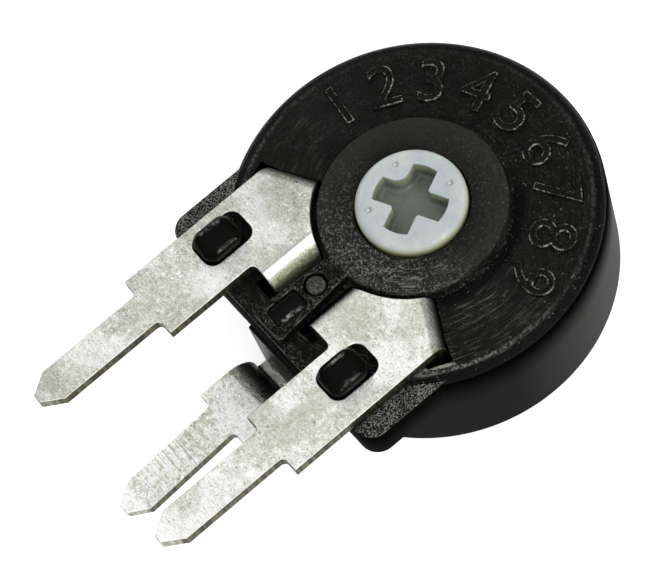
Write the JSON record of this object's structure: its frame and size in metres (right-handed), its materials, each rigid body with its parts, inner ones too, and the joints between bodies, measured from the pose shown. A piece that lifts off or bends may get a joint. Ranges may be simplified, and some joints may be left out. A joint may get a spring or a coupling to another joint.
{
  "type": "trimmer potentiometer",
  "caption": "Round single-turn trimmer potentiometer with a cross-recess rotor and three blade pins.",
  "frame": {"origin": "on the rotor axis, in the plane of the flat back face", "axes": "+Z along the rotor axis towards the adjuster, -Y towards the pin tips, +X from the left pin to the right pin seen from the adjuster with the pins down"},
  "size_m": [0.0098, 0.0153, 0.0042],
  "materials": {
    "housing_black": "semi-gloss, finely speckled on the front",
    "cover_black": "satin",
    "rotor_white": "milky, satin",
    "spring_bronze": "bright",
    "board_brown": "laminated paper board",
    "carbon_black": "printed carbon film",
    "silver_ink": "printed silver film",
    "tinned_sheet": "tinned, lightly scratched"
  },
  "bodies": {
    "base": {"housing": "housing_black", "back_cover": "cover_black", "element_board": "board_brown", "carbon_track": "carbon_black", "left_end_pad": "silver_ink", "right_end_pad": "silver_ink", "left_terminal": "tinned_sheet", "right_terminal": "tinned_sheet", "wiper_terminal": "tinned_sheet"},
    "adjuster": {"rotor": "rotor_white", "wiper_spring": "spring_bronze"}
  },
  "joints": [
    {"name": "rotor_turn", "type": "hinge", "parent": "base", "child": "adjuster", "pos_m": [0, 0, 0], "axis": [0, 0, 1], "range_deg": [-143.1, 91.9]}
  ]
}
